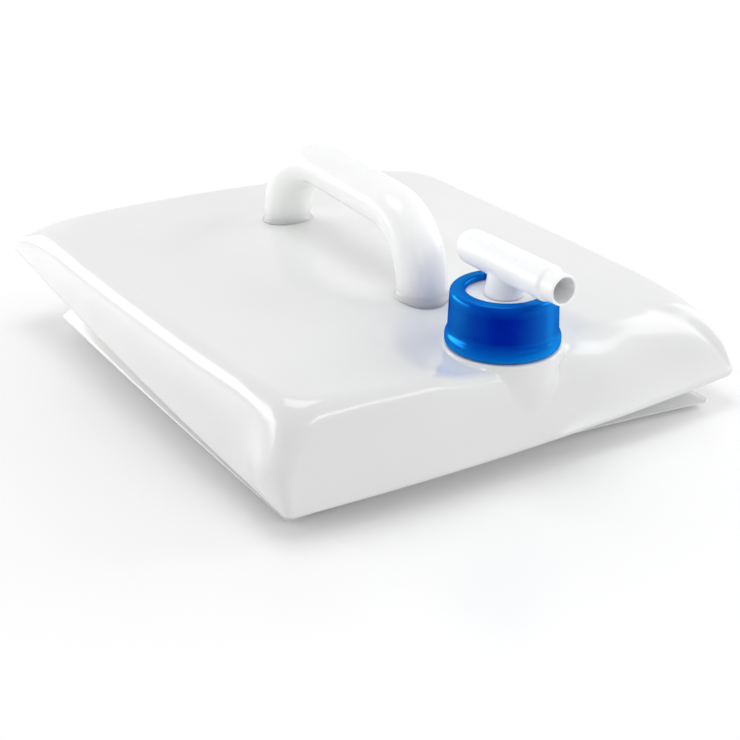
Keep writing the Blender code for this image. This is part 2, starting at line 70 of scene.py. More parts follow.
def new_object(name, data):
    """An object that holds that data, in the scene's own collection."""
    thing = bpy.data.objects.new(name, data)
    bpy.context.scene.collection.objects.link(thing)
    return thing


camera_data = bpy.data.cameras.new("camera")
camera_data.sensor_width = 36.0
camera_data.lens = 71.5135
camera_data.clip_start = 0.01
camera = new_object("camera", camera_data)
camera.location = (-0.3708, -0.5665, 0.3210)
camera.rotation_euler = (1.1277, 0.0, -0.5850)
bpy.context.scene.camera = camera
bpy.context.scene.view_settings.view_transform = "Standard"


# Studio: four soft boxes, overhead, behind, on the right and in front, in a pale room
# that is a little lighter in front and darkens towards its ceiling.

LAMP_AWAY = 1.2
LAMP_AIM = (0, 0, 0.05)
ROOM_LOW, ROOM_HIGH, ROOM_FRONT = 0.72, 0.58, 0.01
CEILING, FRONT = (0.0, 0.6), (0.1, -0.8)


def softbox(name, towards, wide, tall, watts):
    """A rectangular lamp. It stands LAMP_AWAY from LAMP_AIM, in that direction, square to the
    line between the two, and its wide side is level."""
    aim = np.array(towards) / np.linalg.norm(towards)
    data = bpy.data.lights.new(name, "AREA")
    data.shape = "RECTANGLE"
    data.size, data.size_y = wide, tall
    data.energy = watts
    lamp = new_object(name, data)
    lamp.location = aim * LAMP_AWAY + np.array(LAMP_AIM)
    lamp.rotation_euler = (math.acos(aim[2]), 0.0, math.atan2(aim[0], -aim[1]))


softbox("overhead_box", (-0.08, 0.12, 0.98), wide=0.60, tall=0.60, watts=3.6)
softbox("back_box", (-0.66, 0.73, 0.18), wide=1.20, tall=0.36, watts=5.6)
softbox("right_box", (0.87, -0.17, 0.42), wide=1.00, tall=0.70, watts=4.8)
softbox("front_box", (0.22, -0.85, 0.42), wide=0.80, tall=0.15, watts=1.9)


def link(tree, source, output, target, entry):
    """Joins one node's output to another node's input."""
    tree.links.new(source.outputs[output], target.inputs[entry])


def put(node, values):
    """Sets a node's inputs, by their names."""
    for name, value in values.items():
        node.inputs[name].default_value = value


def spread(tree, source, output, low, high, to_low, to_high):
    """A Map Range node: what lies between low and high comes out between to_low and to_high."""
    node = tree.nodes.new("ShaderNodeMapRange")
    put(node, {"From Min": low, "From Max": high, "To Min": to_low, "To Max": to_high})
    link(tree, source, output, node, "Value")
    return node


def maths(tree, operation, one, other):
    """A Math node over two outputs, each given as a node and the name or place of its output."""
    node = tree.nodes.new("ShaderNodeMath")
    node.operation = operation
    link(tree, *one, node, 0)
    link(tree, *other, node, 1)
    return node


def seen_directly(tree):
    """The largest of three flags: 1 for rays that the camera, a gloss or a clear piece sends
    out, and 0 for the rest."""
    path = tree.nodes.new("ShaderNodeLightPath")
    first = maths(tree, "MAXIMUM", (path, "Is Camera Ray"), (path, "Is Glossy Ray"))
    return maths(tree, "MAXIMUM", (first, 0), (path, "Is Transmission Ray"))


# The room goes from low to high along CEILING by a direction's Z, and gains ROOM_FRONT along
# FRONT by its Y. Where it is seen directly it is white
world = bpy.data.worlds.new("studio")
bpy.context.scene.world = world
world.use_nodes = True
room = world.node_tree
room.nodes.clear()
direction = room.nodes.new("ShaderNodeTexCoord")
split = room.nodes.new("ShaderNodeSeparateXYZ")
link(room, direction, "Generated", split, 0)
high = spread(room, split, "Z", *CEILING, ROOM_LOW, ROOM_HIGH)
front = spread(room, split, "Y", *FRONT, 0.0, ROOM_FRONT)
lit = maths(room, "ADD", (high, 0), (front, 0))
choose = room.nodes.new("ShaderNodeMix")
choose.data_type = "FLOAT"
link(room, seen_directly(room), 0, choose, "Factor")
link(room, lit, 0, choose, "A")
put(choose, {"B": 1.0})
glow = room.nodes.new("ShaderNodeBackground")
put(glow, {"Color": (1, 1, 1, 1)})
link(room, choose, 0, glow, "Strength")
world_end = room.nodes.new("ShaderNodeOutputWorld")
link(room, glow, 0, world_end, "Surface")


# Floor: a wide white board with a slight gloss. Where it is seen directly it also glows, more
# with the distance from its middle, and so fades into the white room.

FLOOR_HALF, FLOOR_LEVEL = 6, -0.0003
FLOOR_WHITE, FLOOR_ROUGHNESS = 0.89, 0.28
FADE_REACH, FLOOR_LIFT = (0.13, 1.30), (0.05, 0.37)

floor_mesh = bpy.data.meshes.new("floor")
floor_mesh.from_pydata([(x * FLOOR_HALF, y * FLOOR_HALF, FLOOR_LEVEL)
                        for x, y in ((-1, -1), (1, -1), (1, 1), (-1, 1))], [], [(0, 1, 2, 3)])
floor = new_object("floor", floor_mesh)
board = bpy.data.materials.new("white_board")
board.use_nodes = True
board_tree = board.node_tree
paint = board_tree.nodes["Principled BSDF"]
put(paint, {"Base Color": (FLOOR_WHITE, FLOOR_WHITE, FLOOR_WHITE, 1),
            "Roughness": FLOOR_ROUGHNESS, "Emission Color": (1, 1, 1, 1)})
board_place = board_tree.nodes.new("ShaderNodeTexCoord")
far = board_tree.nodes.new("ShaderNodeVectorMath")
far.operation = "LENGTH"
link(board_tree, board_place, "Object", far, 0)
fade = spread(board_tree, far, "Value", *FADE_REACH, *FLOOR_LIFT)
lift = maths(board_tree, "MULTIPLY", (seen_directly(board_tree), 0), (fade, 0))
link(board_tree, lift, 0, paint, "Emission Strength")
floor_mesh.materials.append(board)
floor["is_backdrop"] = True


# Container: one soft, milky blow moulding in a 1 mm skin, folded flat. Here are its lines,
# its skin and its finish; its top, its tucked walls and its base are cut from that one skin.

SIDE_X, SIDE_Y = 0.244, 0.256
SHIFT_X, SHIFT_Y = 0.003, 0.006
CORNER_SIGN = np.array(((-1, -1), (1, -1), (1, 1), (-1, 1)))
SKIN = 0.0010

# Sixteen values each, for the places that all_round names, which are counted in sides here
PLACES = (-0.09, 0.12, 0.35, 0.52, 0.70, 0.84, 0.91, 1.10,
          1.45, 1.80, 2.30, 2.91, 3.08, 3.30, 3.60, 3.82)
EDGE_INSET = (0.0115, 0.0120, 0.0135, 0.0190, 0.0230, 0.0240, 0.0150, 0.0140, 0.0140,
              0.0140, 0.0150, 0.0140, 0.0140, 0.0160, 0.0165, 0.0140)
EDGE_POWER = (2.20, 2.40, 2.30, 1.85, 1.80, 1.90, 2.10, 2.40, 2.50,
              2.40, 2.20, 1.60, 2.05, 2.20, 2.20, 2.20)
LIP_HOLLOW = (0.0004, 0.0018, 0.0030, 0.0044, 0.0040, 0.0024, 0.0006, 0.0012, 0.0012,
              0.0012, 0.0006, 0.0000, 0.0008, 0.0010, 0.0010, 0.0008)

# Four values each: a corner's own, or those of the side that starts there
RIM_HEIGHT = (0.0575, 0.0495, 0.0547, 0.0615)
FOLD_HEIGHT = (0.0100, 0.0160, 0.0290, 0.0445)
CREASE_HEIGHT = (0.0025, 0.0030, 0.0080, 0.0080)
RIM_OFFSET = ((0.0005, 0.0010), (0.0033, -0.0015), (0.0010, -0.0040), (-0.0020, 0.0070))
FOLD_OFFSET = ((0.0035, 0.0020), (0.0050, -0.0084), (0.0020, 0.0000), (-0.0040, 0.0220))
CREASE_OFFSET = ((0.0091, 0.0115), (-0.0080, -0.0060), (-0.0070, -0.0120), (0.0117, -0.0020))
RIM_SWELL = (0.0105, 0.0015, 0.0080, 0.0040)
FOLD_SWELL = (0.0045, 0.0020, 0.0060, 0.0005)
CREASE_SWELL = (-0.0060, 0.0020, 0.0020, 0.0010)
FOLD_LIFT = (-0.0010, 0, 0, -0.0025)
RIM_CORNER = (0.0090, 0.0120, 0.0220, 0.0100)
FOLD_CORNER = (0.0040, 0.0060, 0.0100, 0.0050)
PANEL_CORNER = (0.0220, 0.0300, 0.0300, 0.0240)
CREASE_CORNER = (0.0040, 0.0040, 0.0100, 0.0030)
CORNER_DROOP = (0.0030, 0.0015, 0.0000, 0.0020)

DROOP_REACH = 0.032
DOME, DOME_FROM, DOME_OVER = 0.0035, 0.55, 0.30
FAR_PUFF, PUFF_FROM, PUFF_OVER, PUFF_MIDDLE, PUFF_HALF = 0.0026, 0.70, 0.30, 0.35, 0.75
NECK_X, NECK_Y = 0.0063, SHIFT_Y - SIDE_Y / 2 + 0.0186
NECK_SAG, NECK_SAG_FLAT, NECK_SAG_REACH = 0.0030, 0.034, 0.052
PLEAT_DEPTH, FOLD_ROUND, CREASE_ROUND = 0.024, 0.0026, 0.0026 * 0.8
FOOT_INSET, FOOT_CORNER, BASE_CURL = 0.0180, 0.010, 2.18
BASE_STEPS = (0.15, 0.32, 0.5, 0.68, 0.85, 1.0)
CENTIMETRE = 0.01
KNUCKLE, KNUCKLE_WAY = (-0.1180, -0.1060, 0.0265), (-1.0, -0.15, 0.2)
KNUCKLE_RISE, KNUCKLE_SPREAD = 0.0044, 0.0092
SIDE_STEPS, CORNER_STEPS = 64, 14
RISE_ROWS, FOLD_ROWS, LIMB_ROWS, WALL_ROWS, PANEL_ROWS = 9, 9, 9, 38, 44


def mix(a, b, t):
    """The straight way from a to b, at the shares t."""
    return a * (1 - t) + b * t


def parabola(a, control, b, t):
    """The parabola from a to b that leaves and arrives towards its control point, at the
    shares t."""
    return a * (1 - t) ** 2 + control * 2 * t * (1 - t) + b * t ** 2


def ring(offset, height, swell, corner, inset=0.0, lift=(0, 0, 0, 0)):
    """A closed line round the container. Its corner points are the plan's, drawn in by inset
    and moved by offset, at their heights. Each side is the straight line between two of them,
    bowed outwards by swell and upwards by lift, both times 4 s (1 - s). Each corner is a
    parabola that starts and ends its corner size away, with its point as control point."""
    half = np.array((SIDE_X, SIDE_Y)) / 2 - inset
    plan = np.array((SHIFT_X, SHIFT_Y)) + CORNER_SIGN * half + np.array(offset)
    here = np.column_stack((plan, height))
    ahead = np.roll(here, -1, axis=0)
    along = ahead - here
    length = np.linalg.norm(along, axis=1)
    out = np.column_stack((along[:, 1], -along[:, 0], np.zeros(4)))
    out = out / np.linalg.norm(out, axis=1)[:, None] * np.array(swell)[:, None]
    out[:, 2] = lift
    first = np.array(corner) / length
    last = 1 - np.roll(np.array(corner), -1) / length

    def side(s):
        """Points at the shares s of each of the four sides."""
        s = s[..., None]
        return mix(here[:, None], ahead[:, None], s) + out[:, None] * 4 * s * (1 - s)

    steps = np.linspace(0, 1, SIDE_STEPS, endpoint=False)
    sides = side(first[:, None] + (last - first)[:, None] * steps)
    t = np.linspace(0, 1, CORNER_STEPS, endpoint=False)[None, :, None]
    leave = side(last[:, None])
    arrive = np.roll(side(first[:, None]), -1, axis=0)
    corners = parabola(leave, ahead[:, None], arrive, t)
    return np.concatenate((sides, corners), axis=1).reshape(-1, 3)


def ease(x):
    """The smooth step 3 x^2 - 2 x^3, flat below 0 and above 1."""
    x = np.clip(x, 0, 1)
    return x * x * (3 - 2 * x)


def panel_height(x, y):
    """Height of the top panel: a plane twisted through four corner heights, with a domed
    middle, a puffed far side, corners that droop and a flat hollow round the neck."""
    u = (x - SHIFT_X) / SIDE_X + 0.5
    v = (y - SHIFT_Y) / SIDE_Y + 0.5
    front, right, back, left = RIM_HEIGHT
    level = mix(mix(front, right, u), mix(left, back, u), v)
    hump = np.maximum(0, 1 - ((u - PUFF_MIDDLE) / PUFF_HALF) ** 2)
    puff = hump * ease((v - PUFF_FROM) / PUFF_OVER)
    inner = np.where((u > 0) & (u < 1), 16 * u * (1 - u) * v * (1 - v), 0)
    dome = ease((inner - DOME_FROM) / DOME_OVER)
    to_corner = [np.hypot(x - SHIFT_X - a * SIDE_X / 2, y - SHIFT_Y - b * SIDE_Y / 2)
                 for a, b in CORNER_SIGN]
    droop = sum(size * ease(1 - far / DROOP_REACH) for size, far in zip(CORNER_DROOP, to_corner))
    away = np.hypot(x - NECK_X, y - NECK_Y)
    sag = ease((NECK_SAG_REACH - away) / (NECK_SAG_REACH - NECK_SAG_FLAT))
    return level + DOME * dome + FAR_PUFF * puff - NECK_SAG * sag - droop


def outward(line):
    """Unit vectors in plan that point out of a ring, square to the line between each
    point's two neighbours."""
    along = np.roll(line, -1, axis=0) - np.roll(line, 1, axis=0)
    out = np.column_stack((along[:, 1], -along[:, 0], np.zeros(len(line))))
    return out / np.linalg.norm(out, axis=1)[:, None]


def unit(vectors):
    """The same vectors at length 1."""
    return vectors / np.linalg.norm(vectors, axis=-1, keepdims=True)


def halfway(a, b):
    """The mean of two lists of sizes, corner by corner."""
    return (np.array(a) + np.array(b)) / 2


def rounded_fold(before, at, after, size):
    """A soft fold: a parabola from one limb to the other, which reaches size along each from
    its control point. That is pushed out so that the crown lies on the fold's own line."""
    u = unit(before - at)
    v = unit(after - at)
    control = at - size * (u + v) / 4
    a, b = control + size * u, control + size * v
    return parabola(a, control, b, np.linspace(0, 1, FOLD_ROWS)[:, None, None])


def between(a, b, steps):
    """Rows on the straight way from one line to another, without the two ends."""
    return mix(a, b, np.linspace(0, 1, steps + 2)[1:-1, None, None])


def all_round(values):
    """One value for each column, eased between the given ones. These stand at the front
    corner, at five places on the neck side, at the right corner, at three places on the right
    side, at one on the far side, at the left corner, and at four places on the left side."""
    lap = SIDE_STEPS + CORNER_STEPS
    at = np.array(PLACES) * lap
    at = np.append(at, at[0] + 4 * lap)
    values = np.append(values, values[0])
    column = (np.arange(4 * lap) - at[0]) % (4 * lap) + at[0]
    place = np.clip(np.searchsorted(at, column, side="right") - 1, 0, len(at) - 2)
    share = ease((column - at[place]) / (at[place + 1] - at[place]))
    return mix(values[place], values[place + 1], share)


fold = ring(FOLD_OFFSET, FOLD_HEIGHT, FOLD_SWELL, FOLD_CORNER, lift=FOLD_LIFT)
crease = ring(CREASE_OFFSET, CREASE_HEIGHT, CREASE_SWELL, CREASE_CORNER)
tuck = ring(halfway(FOLD_OFFSET, CREASE_OFFSET), halfway(FOLD_HEIGHT, CREASE_HEIGHT),
            halfway(FOLD_SWELL, CREASE_SWELL), halfway(FOLD_CORNER, CREASE_CORNER),
            inset=PLEAT_DEPTH)
rim = ring(RIM_OFFSET, RIM_HEIGHT, RIM_SWELL, RIM_CORNER)
rim[:, 2] = panel_height(rim[:, 0], rim[:, 1])

# The panel's edge lies inside the rim. Its inset is measured on a ring drawn in by a centimetre
full = ring(RIM_OFFSET, RIM_HEIGHT, RIM_SWELL, PANEL_CORNER)
smaller = ring(RIM_OFFSET, RIM_HEIGHT, RIM_SWELL, PANEL_CORNER, inset=CENTIMETRE)
panel_edge = full + (smaller - full) * (all_round(EDGE_INSET) / CENTIMETRE)[:, None]
panel_edge[:, 2] = panel_height(panel_edge[:, 0], panel_edge[:, 1])
foot = ring(CREASE_OFFSET, (0, 0, 0, 0), CREASE_SWELL, np.array(CREASE_CORNER) + FOOT_CORNER,
            inset=FOOT_INSET)
foot_middle = foot.mean(axis=0)

# Base: flat where it stands, then turned up to its crease
step = np.array(BASE_STEPS)[:, None, None]
base_rows = mix(foot_middle, foot, step)
step = np.linspace(0, 1, RISE_ROWS + 2)[1:-1, None, None]
rise_rows = between(foot, crease, RISE_ROWS)
rise_rows[:, :, 2] = crease[None, :, 2] * step[:, :, 0] ** BASE_CURL
crease_rows = rounded_fold(rise_rows[-1], crease, tuck, CREASE_ROUND)
tuck_rows = rounded_fold(crease, tuck, fold, FOLD_ROUND)

# Side wall and rounded rim in one: a superellipse from the fold to the panel's edge, with the
# rim's line as its corner. The hollow above the fold goes as up (1 - up)^2, which is 1 / 6.75
# at its deepest
fold_rows = rounded_fold(tuck, fold, rim, FOLD_ROUND)
start = fold_rows[-1]
power = all_round(EDGE_POWER)
angle = np.radians(np.linspace(0, 90, WALL_ROWS + 1))[1:, None]
size = (np.sin(angle) ** power + np.cos(angle) ** power) ** (-1 / power)
up, over = (np.sin(angle) * size)[:, :, None], 1 - (np.cos(angle) * size)[:, :, None]
hollow = (all_round(LIP_HOLLOW) * 6.75)[:, None] * outward(rim) * up * (1 - up) ** 2
wall_rows = start + (rim - start) * up + (panel_edge - rim) * over - hollow

# A knuckle where the left wall is pinched towards the front corner: a bell-shaped bulge
off = np.sum((wall_rows - KNUCKLE) ** 2, axis=2)
bulge = KNUCKLE_RISE * np.exp(-off / (2 * KNUCKLE_SPREAD ** 2))
wall_rows = wall_rows + unit(np.array(KNUCKLE_WAY)) * bulge[:, :, None]

# The panel, from its edge in to its middle
middle = rim.mean(axis=0)
share = np.linspace(1, 0, PANEL_ROWS + 2)[1:-1, None, None]
panel_rows = middle + (panel_edge - middle) * share
panel_rows[:, :, 2] = panel_height(panel_rows[:, :, 0], panel_rows[:, :, 1])
panel_tip = np.array((middle[0], middle[1], float(panel_height(middle[0], middle[1]))))

container = np.concatenate((
    base_rows, rise_rows, crease_rows,
    between(crease_rows[-1], tuck_rows[0], LIMB_ROWS), tuck_rows,
    between(tuck_rows[-1], fold_rows[0], LIMB_ROWS), fold_rows,
    wall_rows, panel_rows))
crease_row = len(base_rows) + RISE_ROWS + FOLD_ROWS // 2
fold_row = crease_row + 2 * (FOLD_ROWS + LIMB_ROWS)

across = np.roll(container, -1, axis=1) - np.roll(container, 1, axis=1)
upwards = np.gradient(container, axis=0)
container_inner = container - SKIN * unit(np.cross(across, upwards))


def walled(outer, inner, keep=None, tip_first=None, tip_last=None, points_before=0):
    """A skin with thickness: the outer grid's faces, the inner grid's turned over, and strips
    that join the two along every open edge. Columns run round and close. keep says which
    faces are there; a tip is a pair of points, outer and inner, that closes an end. Points
    are numbered from points_before."""
    rows, cols = outer.shape[:2]
    count = rows * cols
    index = points_before + np.arange(count).reshape(rows, cols)
    right = np.roll(index, -1, axis=1)
    keep = np.ones((rows - 1, cols), bool) if keep is None else keep
    quads = np.stack((index[:-1], right[:-1], right[1:], index[1:]), axis=-1)[keep]
    faces = [quads, quads[:, ::-1] + count]
    edged = np.pad(keep, ((1, 1), (0, 0)))
    starts = edged[1:] & ~edged[:-1]
    ends = edged[:-1] & ~edged[1:]
    if tip_first is not None:
        starts[0] = False
    if tip_last is not None:
        ends[-1] = False
    strip = np.stack((right, index, index + count, right + count), axis=-1)
    faces += [strip[starts], strip[ends][:, ::-1]]
    before = np.roll(keep, 1, axis=1)
    strip = np.stack((index[:-1], index[1:], index[1:] + count, index[:-1] + count), axis=-1)
    faces += [strip[keep & ~before], strip[before & ~keep][:, ::-1]]
    points = [outer.reshape(-1, 3), inner.reshape(-1, 3)]
    fans = []
    total = points_before + 2 * count
    for tip, ends_of in ((tip_first, 0), (tip_last, rows - 1)):
        if tip is None:
            continue
        points.append(np.array(tip))
        one, other = index[ends_of], right[ends_of]
        if ends_of == 0:
            one, other = other, one
        fans.append(np.column_stack((one, other, np.full(cols, total))))
        fans.append(np.column_stack((other + count, one + count, np.full(cols, total + 1))))
        total += 2
    triangles = np.concatenate(fans).tolist() if fans else []
    return np.concatenate(points), np.concatenate(faces).tolist() + triangles


def make_piece(name, shape, finish, body, node, crease_angle=40):
    """Puts a shape's points and faces into a mesh object at the origin, with smooth shading
    up to crease_angle and the given finish, hangs it on its body if there is one, and hides
    its CAD node. Faces are turned over if the sum of centre times normal times area, which is
    three times the volume, comes out below nothing."""
    points, faces = shape
    mesh = bpy.data.meshes.new(name)
    mesh.from_pydata(points.tolist(), [], faces)
    mesh.update()
    centres = np.zeros(len(mesh.polygons) * 3)
    normals = np.zeros(len(mesh.polygons) * 3)
    areas = np.zeros(len(mesh.polygons))
    mesh.polygons.foreach_get("center", centres)
    mesh.polygons.foreach_get("normal", normals)
    mesh.polygons.foreach_get("area", areas)
    if np.sum(np.sum((centres * normals).reshape(-1, 3), axis=1) * areas) < 0:
        mesh.flip_normals()
    mesh.shade_smooth()
    mesh.set_sharp_from_angle(angle=math.radians(crease_angle))
    piece = new_object(name, mesh)
    mesh.materials.append(finish)
    if body:
        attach(piece, body)
    if node:
        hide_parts(node)
    return piece


def noise(tree, place, scale, detail):
    """A noise texture over an object's own coordinates."""
    node = tree.nodes.new("ShaderNodeTexNoise")
    put(node, {"Scale": scale, "Detail": detail})
    link(tree, place, "Object", node, "Vector")
    return node


def bump(tree, height, distance):
    """A bump that stands as far out as the noise times that distance."""
    node = tree.nodes.new("ShaderNodeBump")
    put(node, {"Strength": 1.0, "Distance": distance})
    link(tree, height, "Fac", node, "Height")
    return node


def plastic(name, pale, deep, patch, smooth, rough, grain, grain_size, wave=0.0, wave_size=0.03):
    """A moulded plastic. Its colour wanders between two tones in patches, its roughness
    between two values in smaller ones, and its bump is a fine grain over a slow wave."""
    mat = bpy.data.materials.new(name)
    mat.use_nodes = True
    tree = mat.node_tree
    shader = tree.nodes["Principled BSDF"]
    place = tree.nodes.new("ShaderNodeTexCoord")
    clouds = noise(tree, place, 1 / patch, 3.0)
    tones = tree.nodes.new("ShaderNodeMix")
    tones.data_type = "RGBA"
    put(tones, {"A": (*pale, 1), "B": (*deep, 1)})
    share = spread(tree, clouds, "Fac", 0.35, 0.65, 0.0, 1.0)
    link(tree, share, 0, tones, "Factor")
    link(tree, tones, 2, shader, "Base Color")
    smears = noise(tree, place, 4 / patch, 5.0)
    polish = spread(tree, smears, "Fac", 0.3, 0.7, smooth, rough)
    link(tree, polish, 0, shader, "Roughness")
    fine = bump(tree, noise(tree, place, 1 / grain_size, 2.0), grain)
    if wave:
        slow = bump(tree, noise(tree, place, 1 / wave_size, 1.0), wave)
        link(tree, slow, "Normal", fine, "Normal")
    link(tree, fine, "Normal", shader, "Normal")
    return mat


milky_film = plastic("milky_film", (0.80, 0.805, 0.80), (0.775, 0.785, 0.775), patch=0.090,
                     smooth=0.14, rough=0.19, grain=0.00001, grain_size=0.0012,
                     wave=0.0003, wave_size=0.045)
put(milky_film.node_tree.nodes["Principled BSDF"], {"IOR": 1.51})


# Container top: the panel with its rounded rim and the sloping side walls down to the fold.
# It is open under the neck, and it carries the neck, the handle and the tap.

NECK_HOLE, NECK_HOLE_ABOVE = 0.0245, 0.040

top_outer, top_inner = container[fold_row:], container_inner[fold_row:]
face_middle = (top_outer[:-1] + top_outer[1:]) / 2
from_neck = np.hypot(face_middle[:, :, 0] - NECK_X, face_middle[:, :, 1] - NECK_Y)
in_hole = (from_neck < NECK_HOLE) & (face_middle[:, :, 2] > NECK_HOLE_ABOVE)
make_piece(
    "container_top_skin",
    walled(top_outer, top_inner, keep=~in_hole, tip_last=(panel_tip, panel_tip - (0, 0, SKIN))),
    milky_film, "top", "container_top")


# Container walls: the film tucked in between the base's crease and the top's fold. It opens
# out as the container is pulled up; here it is one fixed shape, on no body.

walls_skin = make_piece(
    "container_walls_skin",
    walled(container[crease_row:fold_row + 1], container_inner[crease_row:fold_row + 1]),
    milky_film, None, "container_walls")
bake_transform(walls_skin)


# Container base: the part of the moulding that it stands on, in the same milky film. It is
# turned up to its own crease, where the tucked walls fold back in.

make_piece(
    "container_base_skin",
    walled(container[:crease_row + 1], container_inner[:crease_row + 1],
           tip_first=(foot_middle, foot_middle + (0, 0, SKIN))),
    milky_film, "base", "container_base")


# Neck seat: the raised ring that the neck grows out of, moulded with the panel. Its skirt
# runs into the panel behind, and in front it is a round boss that sinks into the side wall.

SEAT_RISE, SEAT_OUT, SEAT_BELOW, SEAT_EDGE = 0.0022, 0.0266, 0.0070, 0.0010
SKIRT_FOOT, SKIRT_FOOT_FRONT, SKIRT_SINK, SKIRT_DEEP = 0.0315, 0.0010, 0.0001, 0.0015
SKIRT_FOOT_IN, SKIRT_UNDER_IN = 0.0004, 0.0016
SKIRT_HEAD_WAY, SKIRT_FOOT_WAY, SLOPE_STEP = (0.0006, -0.0040), 0.0040, 0.0004
BOSS_RADIUS, BOSS_HEIGHT, BOSS_FILLET = 0.0212, 0.0190, 0.0018
BOSS_ANGLE, BOSS_EASE, FORWARD_LEAST = math.radians(60), math.radians(14), 0.35
DIP, DIP_ASIDE, DIP_ANGLE, DIP_EASE = 0.0005, 0.0020, math.radians(30), math.radians(20)
DIP_OVER, TAPER_FROM, TAPER_OVER = 0.3, 0.25, 0.80
SEAT_COLS, SKIRT_ROWS, BOSS_LEVELS, BOSS_ROUNDS = 96, 30, 90, 5
CAP_TOP_RADIUS, CAP_WALL = 0.0240, 0.0019
THREAD_PLAY, THREAD_DEPTH = 0.0004, 0.0011
GAP = 0.0003

seat_top = float(panel_height(NECK_X, NECK_Y)) + SEAT_RISE
cap_bore = CAP_TOP_RADIUS - CAP_WALL
neck_radius = cap_bore - THREAD_PLAY - THREAD_DEPTH


def whole_turn(count):
    """That many angles, which share one turn evenly."""
    return np.linspace(0, 2 * math.pi, count, endpoint=False)


def stacked(columns, *parts):
    """The parts' rows one after another. A row of one value has it in every column."""
    return np.concatenate([part + np.zeros((1, columns)) for part in parts])


def about_neck(radius, height):
    """Rows that run round the neck's upright axis. Each point lies at its own radius and
    height, and the columns share one turn evenly."""
    angle = whole_turn(radius.shape[1])
    x = NECK_X + radius * np.cos(angle)
    y = NECK_Y + radius * np.sin(angle)
    return np.stack((x, y, height), axis=-1)


def closed_ring(grid):
    """Points and faces of a grid whose rows and columns both run round and close."""
    rows, cols = grid.shape[:2]
    index = np.arange(rows * cols).reshape(rows, cols)
    right = np.roll(index, -1, axis=1)
    faces = np.stack((index, right, np.roll(right, -1, axis=0), np.roll(index, -1, axis=0)),
                     axis=-1)
    return grid.reshape(-1, 3), faces.reshape(-1, 4).tolist()


def side_column(x):
    """The grid column at which the rim of the neck side reaches x, by interpolation, and the
    whole column before it."""
    column = np.interp(x, rim[:SIDE_STEPS, 0], np.arange(SIDE_STEPS))
    return column, np.clip(column.astype(int), 0, SIDE_STEPS - 2)


def shoulder_height(x, y):
    """Height of the container's top on the neck side, over plan points: first between two
    columns of its grid, by x, then between the two rows on either side of y."""
    side = container[fold_row + FOLD_ROWS // 2:, :SIDE_STEPS]
    column, one = side_column(x)
    line = mix(side[:, one], side[:, one + 1], (column - one)[..., None])
    outmost = np.minimum.accumulate(line[::-1, ..., 1], axis=0)[::-1]
    row = np.clip((outmost < y).sum(axis=0), 1, len(line) - 1)
    below = np.take_along_axis(line, (row - 1)[None, :, None], axis=0)[0]
    above = np.take_along_axis(line, row[None, :, None], axis=0)[0]
    part = np.clip((y - below[:, 1]) / (above[:, 1] - below[:, 1]), 0, 1)
    return mix(below[:, 2], above[:, 2], part)


def at_skirt(radius):
    """Height of the container's surface at that distance from the neck's axis, all round."""
    return shoulder_height(NECK_X + radius * np.cos(turn), NECK_Y + radius * np.sin(turn))


def hermite(one, one_way, other, other_way, t):
    """The cubic from one value to the other with those slopes at its ends, at the shares t."""
    return ((2 * t ** 3 - 3 * t ** 2 + 1) * one + (t ** 3 - 2 * t ** 2 + t) * one_way
            + (3 * t ** 2 - 2 * t ** 3) * other + (t ** 3 - t ** 2) * other_way)


# The skirt: a cubic from the seat's edge that meets the panel at the panel's own slope. Its
# columns are counted by turn, and from_front is their angle from -Y
turn = whole_turn(SEAT_COLS)
from_front = np.abs((turn + math.pi / 2 + math.pi) % (2 * math.pi) - math.pi)
in_front = ease((BOSS_ANGLE - from_front) / BOSS_EASE)
skirt_end = mix(SKIRT_FOOT, SEAT_OUT + SKIRT_FOOT_FRONT, in_front)
end_height = at_skirt(skirt_end)
end_way = unit(np.stack((np.full(SEAT_COLS, SLOPE_STEP),
                         end_height - at_skirt(skirt_end - SLOPE_STEP)), axis=-1)) * SKIRT_FOOT_WAY
t = np.linspace(0, 1, SKIRT_ROWS)[:, None]
skirt_radius = hermite(SEAT_OUT, SKIRT_HEAD_WAY[0], skirt_end, end_way[:, 0], t)
skirt_height = hermite(seat_top - SEAT_EDGE, SKIRT_HEAD_WAY[1],
                       end_height - SKIRT_SINK, end_way[:, 1], t)

# The boss: where the side wall lies in front of the neck at every level, and a round pillar
# that tapers into it, joined to it by a hollow fillet. The way to the wall changes with the
# column that it ends in, so it is worked out a few times over
levels = np.linspace(float(wall_rows[..., 2].min()), seat_top, BOSS_LEVELS)
wall_y = np.array([np.interp(levels, line[:, 2], line[:, 1])
                   for line in wall_rows[:, :SIDE_STEPS].transpose(1, 0, 2)])
boss_height = mix(seat_top - SEAT_EDGE, BOSS_HEIGHT, t)
level = (boss_height - levels[0]) / (levels[1] - levels[0]) + 0 * turn
below = np.clip(level.astype(int), 0, BOSS_LEVELS - 2)
forward = np.maximum(-np.sin(turn), FORWARD_LEAST)
reach = np.full_like(level, SEAT_OUT)
for _ in range(BOSS_ROUNDS):
    column, one = side_column(NECK_X + reach * np.cos(turn))
    low, high = [wall_y[one, k] * (one + 1 - column) + wall_y[one + 1, k] * (column - one)
                 for k in (below, below + 1)]
    reach = (NECK_Y - low - (high - low) * (level - below)) / forward
dip = (DIP + DIP_ASIDE * ease((from_front - DIP_ANGLE) / DIP_EASE)) * ease(t / DIP_OVER)
pillar = SEAT_OUT - (SEAT_OUT - BOSS_RADIUS) * ease((t - TAPER_FROM) / TAPER_OVER)
boss_radius = (reach + pillar + np.sqrt((pillar - reach) ** 2 + BOSS_FILLET ** 2)) / 2 - dip
skirt_radius = mix(skirt_radius, boss_radius, in_front)
skirt_height = mix(skirt_height, boss_height, in_front)

